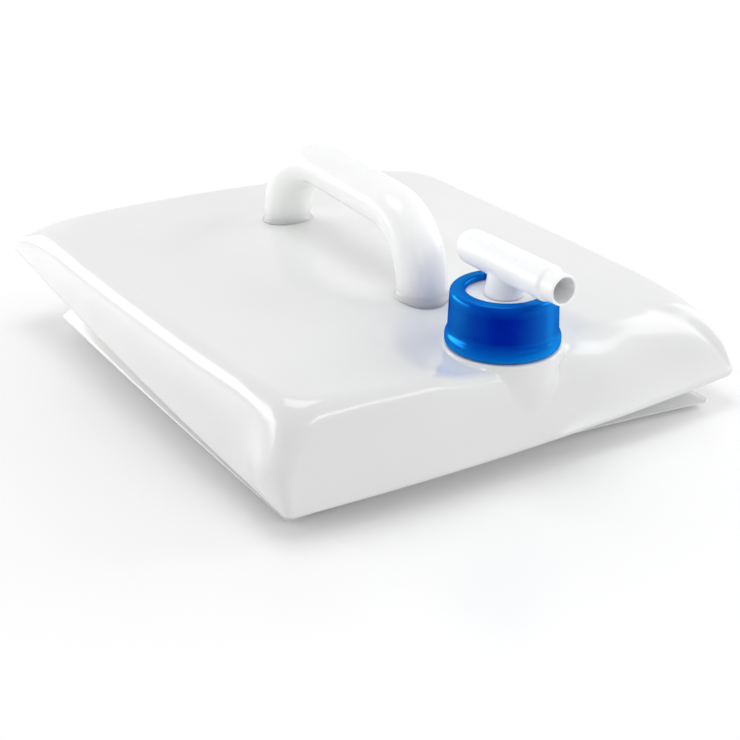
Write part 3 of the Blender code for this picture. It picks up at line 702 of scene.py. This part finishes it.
# The seat's section: up its bore, over its flat top and down the skirt, and back below it
seat_bore = neck_radius + GAP
seat_line = np.array(((seat_bore, -SEAT_BELOW), (seat_bore, -0.0003), (seat_bore + 0.0003, 0),
                      (SEAT_OUT - 0.0014, 0), (SEAT_OUT - 0.0006, -0.00015),
                      (SEAT_OUT - 0.00018, -0.0005))) + (0, seat_top)
skirt_foot = skirt_height[-1:] - SKIRT_DEEP
seat_radius = stacked(SEAT_COLS, seat_line[:, :1], skirt_radius,
                      skirt_radius[-1:] - SKIRT_FOOT_IN,
                      skirt_radius.min(axis=0)[None] - SKIRT_UNDER_IN)[::-1]
seat_height = stacked(SEAT_COLS, seat_line[:, 1:], skirt_height, skirt_foot,
                      (skirt_foot + seat_top - SEAT_BELOW) / 2)[::-1]
make_piece("neck_seat", closed_ring(about_neck(seat_radius, seat_height)), milky_film,
           "top", None, crease_angle=60)


# Neck: a short tube in the same moulding, open into the container, with a right-hand screw
# thread of two and a half turns outside.

NECK_WALL, NECK_BELOW = 0.0022, 0.0055
CAP_HEIGHT, CAP_LIP = 0.02535, 0.0028
FLANGE_THICK, GASKET_THICK, SEAT_PLAY = 0.0022, 0.0018, 0.0005
THREAD_PITCH, THREAD_TURNS, THREAD_TOP = 0.0040, 2.5, 0.0045
THREAD_CREST, THREAD_ROOT = 0.0010, 0.00207
THREAD_COLS = 144

cap_base = seat_top + SEAT_PLAY
cap_top = cap_base + CAP_HEIGHT
flange_top = cap_top - CAP_LIP - GAP
flange_under = flange_top - FLANGE_THICK
neck_top = flange_under - GAP - GASKET_THICK - GAP
neck_foot = seat_top - SEAT_RISE - NECK_BELOW
neck_bore = neck_radius - NECK_WALL


def thread_rib(angle, height, top):
    """How far a thread stands out, 0 to 1: the height from the nearest turn of a right-hand
    helix that ends at top gives a flat crest with eased flanks, and at both of its ends the
    rib fades over about a third of a turn."""
    foot_height = top - THREAD_TURNS * THREAD_PITCH
    part_turn = angle / (2 * math.pi)
    at_turn = np.round((height - foot_height) / THREAD_PITCH - part_turn) + part_turn
    off = np.abs(height - foot_height - at_turn * THREAD_PITCH)
    flank = (THREAD_ROOT - THREAD_CREST) / 2
    left_over = np.minimum(at_turn, THREAD_TURNS - at_turn)
    return (1 - ease((off - THREAD_CREST / 2) / flank)) * ease(3 * left_over + 0.12)


# Outside, the rows stand close together over the thread and wide apart below and above it.
# Inside are the mouth's rounded edge and the bore
thread_top = neck_top - THREAD_TOP
height = np.concatenate((np.linspace(neck_foot, thread_top - 0.0115, 6),
                         np.linspace(thread_top - 0.0113, thread_top + 0.0014, 72),
                         np.linspace(thread_top + 0.0016, neck_top - 0.0006, 5)))[:, None]
around = whole_turn(THREAD_COLS)[None]
threaded = neck_radius + THREAD_DEPTH * thread_rib(around, height, thread_top)
mouth = np.array(((neck_radius - 0.00015, neck_top - 0.0002), (neck_radius - 0.0006, neck_top),
                  (neck_bore + 0.0006, neck_top), (neck_bore + 0.00015, neck_top - 0.0002),
                  (neck_bore, neck_top - 0.0008), (neck_bore, neck_top - 0.0100),
                  (neck_bore, neck_foot)))
neck_grid = about_neck(stacked(THREAD_COLS, threaded, mouth[:, :1]),
                       stacked(THREAD_COLS, height, mouth[:, 1:]))
make_piece("neck_tube", closed_ring(neck_grid), milky_film,
           "top", "neck", crease_angle=50)


# Handle: an oval tube bent into an arch, of the same milky plastic but thicker, and welded to
# the panel by a bead round each foot. It is filled here, so that light scatters in it evenly.

HANDLE_FAR_Y, HANDLE_NEAR_Y = 0.0724, -0.0505
HANDLE_FAR_RISE, HANDLE_NEAR_RISE = 0.0415, 0.0355
HANDLE_FAR_ROUND, HANDLE_NEAR_ROUND = 0.0367, 0.0299
HANDLE_SPLAY = 0.0018
HANDLE_THICK, HANDLE_WIDE, HANDLE_SQUARE = 0.0200, 0.0250, 2.25
BEAD, BEAD_AT, BEAD_SPREAD = 0.0012, 0.0012, 0.0011
WAIST, WAIST_AT, WAIST_SPREAD = 0.0003, 0.0040, 0.0009
FOOT_SINK, FOOT_FLAT, FOOT_EASE, FEET_PART_Y = 0.0002, 0.006, 0.014, 0.01
ARC_ROWS, GRIP_ROWS, HANDLE_COLS = 30, 20, 56
SCATTER = 0.018


def arch_line():
    """Points (y, z) along the handle's middle line: up the far leg, round one arc, along the
    grip, round the other arc and down the near leg, each arc tangent to its two sides."""
    far_panel = float(panel_height(0.0, HANDLE_FAR_Y))
    near_panel = float(panel_height(0.0, HANDLE_NEAR_Y))
    corner = np.array(((HANDLE_FAR_Y, far_panel),
                       (HANDLE_FAR_Y - HANDLE_SPLAY, far_panel + HANDLE_FAR_RISE),
                       (HANDLE_NEAR_Y + HANDLE_SPLAY, near_panel + HANDLE_NEAR_RISE),
                       (HANDLE_NEAR_Y, near_panel)))
    arcs = []
    for k, size in ((1, HANDLE_FAR_ROUND), (2, HANDLE_NEAR_ROUND)):
        back, ahead = unit(corner[k - 1] - corner[k]), unit(corner[k + 1] - corner[k])
        half = math.acos(float(back @ ahead)) / 2
        hub = corner[k] + unit(back + ahead) * size / math.sin(half)
        one = corner[k] + back * size / math.tan(half)
        other = corner[k] + ahead * size / math.tan(half)
        share = np.linspace(0, 1, ARC_ROWS)[:, None]
        arcs.append(hub + unit(mix(one - hub, other - hub, share)) * size)
    dense = np.concatenate((np.linspace(0, 0.006, 24), np.linspace(0.007, 0.10, 40)))[:, None]

    def leg(low, high):
        """The straight part of a leg, from its foot up, with most of its rows at the foot."""
        way = unit(high - low)
        rows = low + way * dense
        return rows[dense[:, 0] < np.linalg.norm(high - low) - 0.001]

    grip = mix(arcs[0][-1], arcs[1][0], np.linspace(0, 1, GRIP_ROWS + 2)[1:-1, None])
    return np.concatenate((leg(corner[0], arcs[0][0]), arcs[0], grip, arcs[1],
                           leg(corner[3], arcs[1][-1])[::-1]))


line = arch_line()
way = unit(np.gradient(line, axis=0))
inwards = np.column_stack((-way[:, 1], way[:, 0]))
travelled = np.concatenate(((0,), np.cumsum(np.linalg.norm(np.diff(line, axis=0), axis=1))))
from_foot = np.minimum(travelled, travelled[-1] - travelled)[:, None]
bead = (BEAD * np.exp(-((from_foot - BEAD_AT) / BEAD_SPREAD) ** 2)
        - WAIST * np.exp(-((from_foot - WAIST_AT) / WAIST_SPREAD) ** 2))
section = whole_turn(HANDLE_COLS)[None]
cosine, sine = np.cos(section), np.sin(section)
squarish = (np.abs(cosine) ** HANDLE_SQUARE + np.abs(sine) ** HANDLE_SQUARE) ** (-1 / HANDLE_SQUARE)


def arch_skin(extra):
    """The handle's surface, extra metres outside its own size: an oval section, a little
    squarer than an ellipse, carried along the arch and set down on the panel at each foot."""
    near = (HANDLE_THICK / 2 + extra) * squarish * cosine
    x = (HANDLE_WIDE / 2 + extra) * squarish * sine
    y = line[:, :1] + inwards[:, :1] * near
    z = line[:, 1:] + inwards[:, 1:] * near
    to_panel = panel_height(x, y) - np.where(y > FEET_PART_Y, line[0, 1], line[-1, 1]) - FOOT_SINK
    drop = to_panel - inwards[:, 1:] * near * (from_foot < FOOT_FLAT)
    z = z + drop * (1 - ease(from_foot / FOOT_EASE))
    return np.stack((x, y, z), axis=-1)


milky_tube = plastic("milky_tube", (0.86, 0.865, 0.86), (0.83, 0.84, 0.83), patch=0.030,
                     smooth=0.16, rough=0.22, grain=0.00001, grain_size=0.0012,
                     wave=0.0001, wave_size=0.020)
put(milky_tube.node_tree.nodes["Principled BSDF"],
    {"Subsurface Weight": 1.0, "Subsurface Radius": (1.0, 1.0, 1.0), "Subsurface Scale": SCATTER})
tube = arch_skin(bead)
index = np.arange(tube.shape[0] * tube.shape[1]).reshape(tube.shape[:2])
right = np.roll(index, -1, axis=1)
quads = np.stack((index[:-1], right[:-1], right[1:], index[1:]), axis=-1).reshape(-1, 4).tolist()
ends = [index[0, ::-1].tolist(), index[-1].tolist()]
make_piece("handle_tube", (tube.reshape(-1, 3), quads + ends), milky_tube,
           "top", "handle", crease_angle=60)


# Gasket and O-ring: the soft rings that seal the tap, one on the neck's mouth and one in the
# stem's groove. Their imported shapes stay, in matt rubber.

for node, tone in (("gasket", (0.42, 0.43, 0.44)), ("stem_o_ring", (0.035, 0.035, 0.038))):
    rubber = plastic(node + "_rubber", tone, tuple(0.8 * c for c in tone), patch=0.004,
                     smooth=0.55, rough=0.75, grain=0.00003, grain_size=0.0006)
    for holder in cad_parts[node].material_slots:
        holder.material = rubber


# Tap flange: a white disc, clamped between the cap's lip and the gasket, with a sleeve below
# it that the stem turns in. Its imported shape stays, in satin white plastic.

white_satin = plastic("white_satin", (0.965, 0.97, 0.975), (0.95, 0.96, 0.97), patch=0.012,
                      smooth=0.26, rough=0.38, grain=0.00001, grain_size=0.0007)
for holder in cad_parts["tap_flange"].material_slots:
    holder.material = white_satin


# Spout: one white moulding. A hollow stem with a groove, a snap ring and two ports turns in
# the sleeve; above it a short column carries the barrel, round at one end, open at the other.

SLEEVE_BORE, SLEEVE_LENGTH = 0.0082, 0.0160
STEM_PLAY, STEM_BORE, STEM_FLOOR = 0.0003, 0.0048, 0.0015
STEM_SNAP, STEM_SNAP_HEIGHT = 0.0010, 0.0020
PORT_HEIGHT, PORT_ABOVE_END, PORT_HALF_ANGLE = 0.0060, 0.0035, 0.46
RING_CORD, RING_BELOW_FLANGE = 0.0015, 0.0030
COLUMN_RADIUS, COLUMN_DRAFT, COLUMN_WAIST = 0.0089, 0.0008, 0.0014
FILLET, FILLET_ASIDE, FILLET_BELOW, FILLET_DRAFT = 0.0004, 0.0012, 0.0012, 0.0002
JOINT_GUESS, JOINT_LEAST, JOINT_WIDEST, JOINT_ROUNDS = -0.006, 0.0025, 0.0078, 20
BARREL_ABOVE_CAP, BARREL_RADIUS, BARREL_KNOB, BARREL_FRONT = 0.01175, 0.0080, 0.0225, 0.0310
BORE_END, BORE_ROUND, HOLE_PLAY = -0.0056, 0.0005, 0.0003
OUTLET_REACH, OUTLET_RADIUS, OUTLET_WALL = 0.0390, 0.0068, 0.0010
COLUMN_COLS, BARREL_COLS, KNOB_ROWS, BACK_ROWS, BARREL_ROWS = 72, 56, 14, 6, 37

stem_radius = SLEEVE_BORE - STEM_PLAY
sleeve_end = flange_under - SLEEVE_LENGTH
snap_top = sleeve_end - GAP
stem_end = snap_top - STEM_SNAP_HEIGHT
stem_floor = stem_end + STEM_FLOOR
port_middle = sleeve_end + PORT_ABOVE_END + PORT_HEIGHT / 2
ring_middle = flange_under - RING_BELOW_FLANGE
groove = SLEEVE_BORE - (RING_CORD + 2 * GAP)
groove_half = RING_CORD / 2 + GAP
column_foot = flange_top + GAP
barrel_axis = cap_top + BARREL_ABOVE_CAP


def eased(corners, size, steps=4):
    """An open profile whose inner corners are parabolas that start and end their own size
    away, or less where a side is too short for it."""
    corners = np.array(corners, float)
    here, before, after = corners[1:-1], corners[:-2], corners[2:]
    room = 0.45 * np.minimum(np.linalg.norm(here - before, axis=1),
                             np.linalg.norm(after - here, axis=1))
    size = np.minimum(size, room)[:, None]
    a, b = here + unit(before - here) * size, here + unit(after - here) * size
    bent = parabola(a[:, None], here[:, None], b[:, None], np.linspace(0, 1, steps)[None, :, None])
    return np.concatenate((corners[:1], bent.reshape(-1, 2), corners[-1:]))


def filled(profile, longest):
    """The same profile with points added along its sides, none further apart than longest."""
    gaps = np.linalg.norm(np.diff(profile, axis=0), axis=1)
    counts = np.maximum(1, np.ceil(gaps / longest)).astype(int)
    share = np.concatenate([np.arange(n) / n for n in counts])[:, None]
    one, other = np.repeat(profile[:-1], counts, axis=0), np.repeat(profile[1:], counts, axis=0)
    return np.concatenate((mix(one, other, share), profile[-1:]))


# The stem and the column: profile points (radius, height), from the stem's end up
stem_line = filled(eased([
    (0.0008, stem_end), (stem_radius, stem_end),
    (stem_radius + STEM_SNAP, stem_end + STEM_SNAP_HEIGHT / 2), (stem_radius + STEM_SNAP, snap_top),
    (stem_radius, snap_top), (stem_radius, port_middle - PORT_HEIGHT / 2),
    (stem_radius, port_middle + PORT_HEIGHT / 2), (stem_radius, ring_middle - groove_half),
    (groove, ring_middle - groove_half), (groove, ring_middle + groove_half),
    (stem_radius, ring_middle + groove_half), (stem_radius, column_foot),
    (COLUMN_RADIUS, column_foot), (COLUMN_RADIUS - 0.0001, column_foot + 0.0008),
    (COLUMN_RADIUS - COLUMN_DRAFT, barrel_axis - BARREL_RADIUS - 0.0006)],
    size=0.0003), longest=0.0010)
turn = whole_turn(COLUMN_COLS)[None]
column_radius = stacked(COLUMN_COLS, stem_line[:, :1])
column_height = stacked(COLUMN_COLS, stem_line[:, 1:])

# The column runs up into the barrel's underside, with a small fillet between the two. Heights
# are from the barrel's axis. The joint's height and radius depend on each other, so they are
# worked out by turns, from a first guess
joint = np.full((1, COLUMN_COLS), JOINT_GUESS)
column_head = COLUMN_RADIUS - COLUMN_DRAFT
for _ in range(JOINT_ROUNDS):
    joint_radius = column_head - COLUMN_WAIST * (joint + BARREL_RADIUS) / BARREL_RADIUS
    joint = -np.sqrt(np.maximum(BARREL_RADIUS ** 2 - (joint_radius * np.cos(turn)) ** 2,
                                JOINT_LEAST ** 2))
fillet_out = FILLET + FILLET_ASIDE * np.sin(turn) ** 2
fillet_x = np.clip((joint_radius + fillet_out) * np.cos(turn), -JOINT_WIDEST, JOINT_WIDEST)
fillet_top = -np.sqrt(BARREL_RADIUS ** 2 - fillet_x ** 2)
t = np.linspace(0, 1, 7)[:, None]
fillet_radius = parabola(joint_radius + FILLET_DRAFT, joint_radius, joint_radius + fillet_out, t)
fillet_height = parabola(joint - FILLET_BELOW, joint, fillet_top, t)
climb = np.linspace(0, 1, 6)[1:-1, None]
climb_radius = mix(column_radius[-1:], fillet_radius[:1], climb)
climb_height = mix(column_height[-1:], barrel_axis + fillet_height[:1], climb)
column_radius = np.concatenate((column_radius, climb_radius, fillet_radius))
column_height = np.concatenate((column_height, climb_height, barrel_axis + fillet_height))

# The stem's bore opens into the barrel's, and two ports open out of it through the stem
outlet_bore = OUTLET_RADIUS - OUTLET_WALL
bore_top = barrel_axis - np.sqrt(outlet_bore ** 2 - (STEM_BORE * np.cos(turn)) ** 2)
bore_radius = np.minimum(column_radius, STEM_BORE)
bore_height = np.clip(column_height, stem_floor, bore_top)
bore_height[-1] = bore_top[0]
middle_height = (column_height[1:] + column_height[:-1]) / 2
port_angle = np.abs(((turn + math.pi / COLUMN_COLS) + math.pi / 2) % math.pi - math.pi / 2)
port = (np.abs(middle_height - port_middle) < PORT_HEIGHT / 2) & (port_angle < PORT_HALF_ANGLE)
column_points, column_faces = walled(
    about_neck(column_radius, column_height), about_neck(bore_radius, bore_height), keep=~port,
    tip_first=((NECK_X, NECK_Y, stem_end), (NECK_X, NECK_Y, stem_floor)))


def at_radius(ways, radius):
    """Profile points at those distances, all at one radius."""
    return np.column_stack((ways, np.full(len(ways), radius)))


# The barrel: profiles (distance along -Y, radius) turned round its own axis. The inner one
# starts as the flat end of the bore. Both have the same number of rows
knob_angle = np.radians(np.linspace(86, 4, KNOB_ROWS))
knob = np.column_stack((-BARREL_KNOB - BARREL_RADIUS * np.sin(knob_angle),
                        BARREL_RADIUS * np.cos(knob_angle)))
ways = np.linspace(-0.0050, BARREL_FRONT - 0.0022, BARREL_ROWS)
front = eased([
    (BARREL_FRONT - 0.0020, BARREL_RADIUS), (BARREL_FRONT - 0.0012, BARREL_RADIUS - 0.0001),
    (BARREL_FRONT - 0.0001, OUTLET_RADIUS + 0.0002), (BARREL_FRONT + 0.0006, OUTLET_RADIUS),
    (OUTLET_REACH - 0.0006, OUTLET_RADIUS), (OUTLET_REACH - 0.0002, OUTLET_RADIUS - 0.0001),
    (OUTLET_REACH, OUTLET_RADIUS - 0.0003)], size=0.0005)
outer_line = np.concatenate((
    knob, at_radius(np.linspace(-BARREL_KNOB, -0.0062, BACK_ROWS), BARREL_RADIUS),
    at_radius(ways, BARREL_RADIUS), front))
flat = np.linspace(0.0004, outlet_bore - BORE_ROUND, KNOB_ROWS)
round_angle = np.radians(np.linspace(0, 90, BACK_ROWS))
inner_line = np.concatenate((
    np.column_stack((np.full(KNOB_ROWS, BORE_END), flat)),
    np.column_stack((BORE_END + BORE_ROUND * (1 - np.cos(round_angle)),
                     outlet_bore - BORE_ROUND * (1 - np.sin(round_angle)))),
    at_radius(ways, outlet_bore), at_radius(front[:, 0], outlet_bore)))

# The outlet's inner edge is broken a little
inner_line[-1] += (0, 0.0003)
inner_line[-2] += (0, 0.0001)


def about_barrel(profile):
    """Circles round the barrel's level axis, one for each distance towards -Y and radius."""
    angle = whole_turn(BARREL_COLS)[None]
    x = NECK_X + profile[:, 1:] * np.cos(angle)
    z = barrel_axis + profile[:, 1:] * np.sin(angle)
    return np.stack((x, NECK_Y - profile[:, :1] + 0 * x, z), axis=-1)


barrel_outer, barrel_inner = about_barrel(outer_line), about_barrel(inner_line)
hole_middle = (barrel_inner[1:] + barrel_inner[:-1]) / 2
from_stem = np.hypot(hole_middle[:, :, 0] - NECK_X, hole_middle[:, :, 1] - NECK_Y)
hole = ((from_stem < STEM_BORE - HOLE_PLAY) & (hole_middle[:, :, 2] < barrel_axis)
        & (np.abs(inner_line[1:, :1] - BORE_END) > 0.0004))
barrel_points, barrel_faces = walled(
    barrel_outer, barrel_inner, keep=~hole, points_before=len(column_points),
    tip_first=((NECK_X, NECK_Y + BARREL_KNOB + BARREL_RADIUS, barrel_axis),
               (NECK_X, NECK_Y - BORE_END, barrel_axis)))
spout_shape = np.concatenate((column_points, barrel_points)), column_faces + barrel_faces
make_piece("spout_body", spout_shape, white_satin,
           "spout", "spout", crease_angle=45)


# Cap: a blue screw ring with a lip that holds the tap's flange down and leaves it in view.
# It flares at its foot, and its thread matches the neck's.

CAP_DRAFT, CAP_FLARE, CAP_FLARE_HEIGHT = 0.0006, 0.0013, 0.0060
CAP_HOLE_RADIUS = 0.0172
THREAD_ROWS = 100
# The lighter blue at the lip and the foot is painted light, not the plastic's own colour
LIP_PAINTED_GLOW, FOOT_PAINTED_GLOW, PAINTED_GLOW_BLUE = 0.28, 0.9, (0.0, 0.16, 0.62, 1)
LIP_DARK, LIP_LIGHT, FOOT_DARK, FOOT_LIGHT = 0.0055, 0.0008, 0.0090, 0.0010
TINT_FACING, TINT_SHARE = (0.08, 0.50), (0.015, 0.34)
GLOSS_BLUE, GLOSS_ROUGHNESS = (0.02, 0.42, 1.0, 1), 0.20

flare_radius = CAP_TOP_RADIUS + CAP_DRAFT + CAP_FLARE
cap_radius = CAP_TOP_RADIUS + CAP_DRAFT
cap_outside = filled(eased([
    (cap_bore, cap_base), (flare_radius - 0.0008, cap_base), (flare_radius, cap_base + 0.0010),
    (flare_radius, cap_base + CAP_FLARE_HEIGHT - 0.0016),
    (cap_radius + 0.0001, cap_base + CAP_FLARE_HEIGHT + 0.0006), (CAP_TOP_RADIUS, cap_top - 0.0014),
    (CAP_TOP_RADIUS - 0.0012, cap_top), (CAP_HOLE_RADIUS + 0.0006, cap_top),
    (CAP_HOLE_RADIUS, cap_top - 0.0007), (CAP_HOLE_RADIUS, cap_top - CAP_LIP),
    (cap_bore, cap_top - CAP_LIP)], size=0.0009, steps=6), longest=0.0020)
thread_height = np.linspace(cap_top - CAP_LIP - 0.0004, cap_base + 0.0003, THREAD_ROWS)[:, None]
crest_depth = cap_bore - (neck_radius + THREAD_PLAY)
bored = cap_bore - crest_depth * thread_rib(around, thread_height, thread_top - THREAD_PITCH / 2)
cap_grid = about_neck(stacked(THREAD_COLS, cap_outside[:, :1], bored),
                      stacked(THREAD_COLS, cap_outside[:, 1:], thread_height))
blue_gloss = plastic("blue_gloss", (0.0, 0.012, 0.35), (0.0, 0.007, 0.30), patch=0.012,
                     smooth=0.10, rough=0.18, grain=0.00001, grain_size=0.0010,
                     wave=0.00008, wave_size=0.008)
blue_tree = blue_gloss.node_tree
blue_shader = blue_tree.nodes["Principled BSDF"]
put(blue_shader, {"Specular IOR Level": 0.0})

# Painted light: the lip and the foot are painted a lighter blue by height. This stands in for the
# light that comes through the plastic there, and the threaded wall between them keeps the darker
# blue
blue_place = blue_tree.nodes.new("ShaderNodeTexCoord")
blue_split = blue_tree.nodes.new("ShaderNodeSeparateXYZ")
link(blue_tree, blue_place, "Object", blue_split, 0)
# Shares of the painted lighter blue, near the cap's top and near its foot: painted light
lip = spread(blue_tree, blue_split, "Z", cap_top - LIP_DARK, cap_top - LIP_LIGHT, 0.0, LIP_PAINTED_GLOW)
foot_painted_glow = spread(blue_tree, blue_split, "Z", cap_base + FOOT_DARK, cap_base + FOOT_LIGHT,
                   0.0, FOOT_PAINTED_GLOW)
painted_glow_share = maths(blue_tree, "MAXIMUM", (lip, 0), (foot_painted_glow, 0))
painted_glow_mix = blue_tree.nodes.new("ShaderNodeMix")
painted_glow_mix.data_type = "RGBA"
blue_tree.links.new(blue_shader.inputs["Base Color"].links[0].from_socket, painted_glow_mix.inputs["A"])
put(painted_glow_mix, {"B": PAINTED_GLOW_BLUE})
link(blue_tree, painted_glow_share, 0, painted_glow_mix, "Factor")
link(blue_tree, painted_glow_mix, 2, blue_shader, "Base Color")

# Its gloss is tinted, since most of it comes back out of the clear blue plastic
gloss = blue_tree.nodes.new("ShaderNodeBsdfGlossy")
put(gloss, {"Color": GLOSS_BLUE, "Roughness": GLOSS_ROUGHNESS})
blue_tree.links.new(blue_shader.inputs["Normal"].links[0].from_socket, gloss.inputs["Normal"])
facing = blue_tree.nodes.new("ShaderNodeLayerWeight")
put(facing, {"Blend": 0.5})
edge = spread(blue_tree, facing, "Facing", *TINT_FACING, *TINT_SHARE)
both = blue_tree.nodes.new("ShaderNodeMixShader")
link(blue_tree, edge, 0, both, 0)
link(blue_tree, blue_shader, 0, both, 1)
link(blue_tree, gloss, 0, both, 2)
link(blue_tree, both, 0, blue_tree.nodes["Material Output"], "Surface")
make_piece("cap_body", closed_ring(cap_grid), blue_gloss,
           "cap", "cap_ring", crease_angle=50)


low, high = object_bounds()
